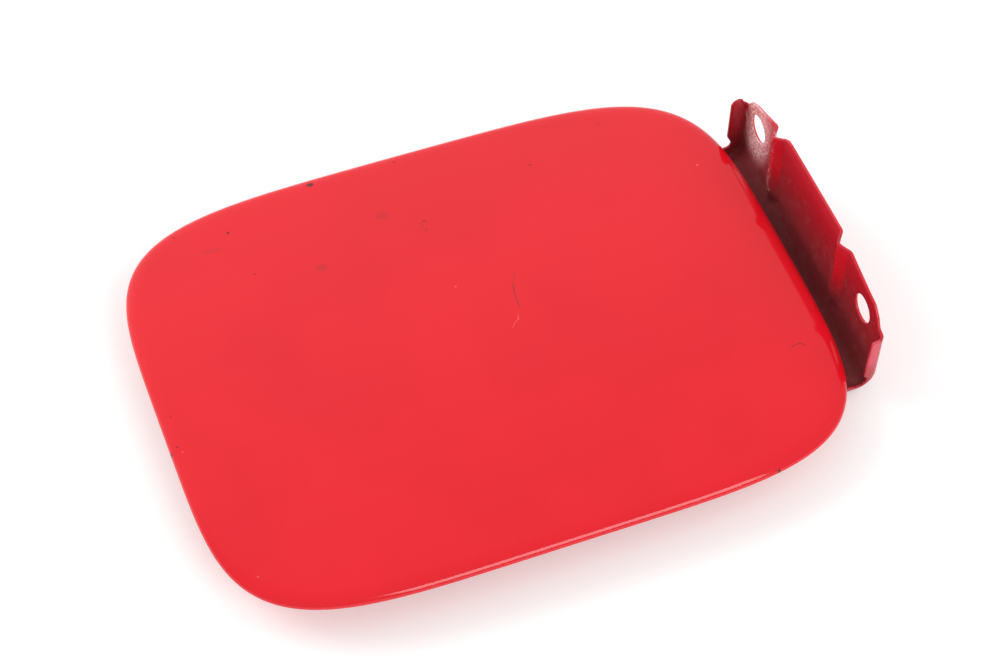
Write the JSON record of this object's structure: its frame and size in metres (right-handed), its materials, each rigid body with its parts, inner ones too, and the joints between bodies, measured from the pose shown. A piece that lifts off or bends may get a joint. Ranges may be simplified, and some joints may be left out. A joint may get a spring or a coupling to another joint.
{
  "type": "car fuel door",
  "caption": "Red painted steel fuel filler door with a crowned rounded panel, and a sprung hinge leaf at its open stop with two fixing holes in an upright flange.",
  "frame": {"origin": "midway between the two fixing holes, on the outer face of the hinge leaf's upright flange", "axes": "+X from the free edge to the hinge side, along the fixing holes' axes; +Z out of the painted face; +Y along the hinge edge"},
  "size_m": [0.1875, 0.1376, 0.0346],
  "materials": {
    "body_paint": "gloss solid red body paint over steel",
    "leaf_paint": "thin gloss red paint over primer, dirty and rubbed at edges",
    "inner_paint": "thin satin red overspray over primer",
    "catch_steel": "zinc plated, dull",
    "pin_steel": "turned and plated, greasy",
    "spring_steel": "dark phosphated spring wire",
    "stop_rubber": "matt black"
  },
  "bodies": {
    "door": {"outer_skin": "body_paint", "inner_panel": "inner_paint", "hinge_base": "inner_paint", "hinge_pin": "pin_steel", "pin_clip": "pin_steel", "torsion_spring": "spring_steel", "latch_catch": "catch_steel", "rubber_stop_near": "stop_rubber", "rubber_stop_far": "stop_rubber"},
    "leaf": {"hinge_leaf": "leaf_paint"}
  },
  "joints": [
    {"name": "hinge", "type": "hinge", "parent": "door", "child": "leaf", "pos_m": [-0.032, -0.0024, -0.01704], "axis": [0, 1, 0], "range_deg": [0, 90], "stiffness_Nm_per_rad": 0.06, "springref_deg": -51.57, "deforming": ["torsion_spring"]}
  ]
}
